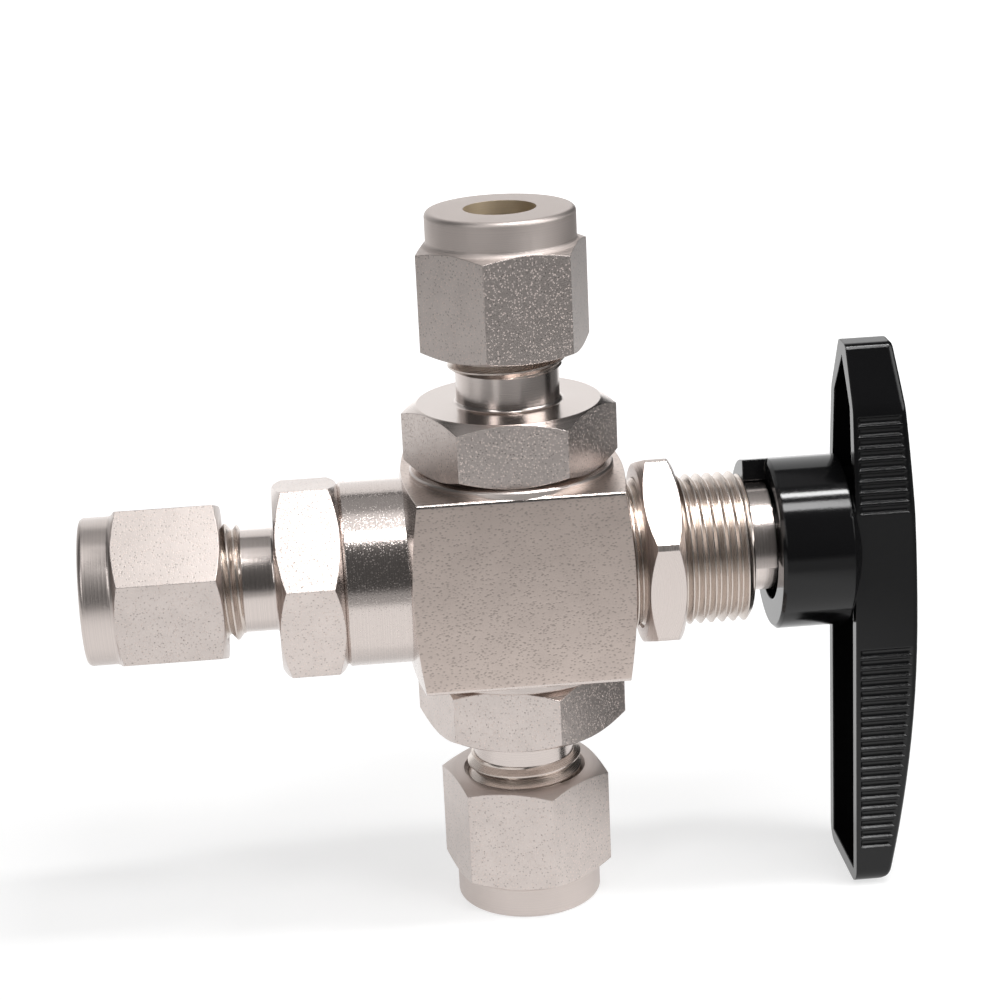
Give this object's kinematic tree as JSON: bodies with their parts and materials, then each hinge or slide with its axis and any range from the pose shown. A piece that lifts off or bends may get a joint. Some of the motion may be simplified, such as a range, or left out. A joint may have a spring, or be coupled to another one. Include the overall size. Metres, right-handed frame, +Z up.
{
  "type": "three-way ball valve",
  "caption": "Compact ball valve with a square block body, compression tube fittings on its side and end ports, a panel nut and a black directional handle.",
  "frame": {"origin": "where the stem axis meets the panel seat, the flat face of the block round the threaded bonnet", "axes": "+X along the stem towards the handle, +Z up through the upper side port, -X out of the common port"},
  "size_m": [0.0781, 0.0198, 0.068],
  "materials": {
    "block_steel": "satin bar stock with fine pits, turned ends",
    "nut_steel": "satin flats with bright turned faces",
    "polished_steel": "polished",
    "spring_steel": "plain",
    "screw_steel": "black oxide",
    "seal_plastic": "smooth white fluoropolymer",
    "handle_plastic": "glossy moulded black, finely ribbed arms"
  },
  "bodies": {
    "valve_body": {"body": "block_steel", "stem_washer": "seal_plastic", "packing_ring_lower": "seal_plastic", "packing_ring_upper": "seal_plastic", "gland": "nut_steel", "disc_spring_lower": "spring_steel", "disc_spring_upper": "spring_steel", "packing_bolt": "nut_steel", "connector_top": "nut_steel", "connector_seal_top": "seal_plastic", "ball_seat_top": "seal_plastic", "connector_bottom": "nut_steel", "connector_seal_bottom": "seal_plastic", "ball_seat_bottom": "seal_plastic", "connector_left": "nut_steel", "connector_seal_left": "seal_plastic", "ball_seat_left": "seal_plastic"},
    "handle_and_ball": {"handle": "handle_plastic", "handle_set_screw": "screw_steel", "stem": "polished_steel", "ball": "polished_steel"},
    "panel_nut": {"panel_nut": "nut_steel"},
    "ferrules_top": {"front_ferrule_top": "polished_steel", "back_ferrule_top": "polished_steel"},
    "nut_top": {"tube_nut_top": "nut_steel"},
    "ferrules_bottom": {"front_ferrule_bottom": "polished_steel", "back_ferrule_bottom": "polished_steel"},
    "nut_bottom": {"tube_nut_bottom": "nut_steel"},
    "ferrules_left": {"front_ferrule_left": "polished_steel", "back_ferrule_left": "polished_steel"},
    "nut_left": {"tube_nut_left": "nut_steel"}
  },
  "joints": [
    {"name": "handle_turn", "type": "hinge", "parent": "valve_body", "child": "handle_and_ball", "pos_m": [0, 0, 0], "axis": [1, 0, 0], "range_deg": [-180, 0]},
    {"name": "panel_nut_travel", "type": "slide", "parent": "valve_body", "child": "panel_nut", "axis": [1, 0, 0], "range_m": [-0.0012, 0.006]},
    {"name": "nut_top_travel", "type": "slide", "parent": "valve_body", "child": "ferrules_top", "axis": [0, 0, 1], "range_m": [0, 0.0051]},
    {"name": "nut_top_turn", "type": "hinge", "parent": "ferrules_top", "child": "nut_top", "pos_m": [-0.0104, 0, 0], "axis": [0, 0, 1], "range_deg": [0, 1440]},
    {"name": "nut_bottom_travel", "type": "slide", "parent": "valve_body", "child": "ferrules_bottom", "axis": [0, 0, -1], "range_m": [0, 0.0051]},
    {"name": "nut_bottom_turn", "type": "hinge", "parent": "ferrules_bottom", "child": "nut_bottom", "pos_m": [-0.0104, 0, 0], "axis": [0, 0, -1], "range_deg": [0, 1440]},
    {"name": "nut_left_travel", "type": "slide", "parent": "valve_body", "child": "ferrules_left", "axis": [-1, 0, 0], "range_m": [0, 0.0051]},
    {"name": "nut_left_turn", "type": "hinge", "parent": "ferrules_left", "child": "nut_left", "pos_m": [-0.0104, 0, 0], "axis": [-1, 0, 0], "range_deg": [0, 1440]}
  ],
  "couplings": [
    {"joint": "nut_top_travel", "follows": "nut_top_turn", "m_per_rad": 0.00020213},
    {"joint": "nut_bottom_travel", "follows": "nut_bottom_turn", "m_per_rad": 0.00020213},
    {"joint": "nut_left_travel", "follows": "nut_left_turn", "m_per_rad": 0.00020213}
  ]
}
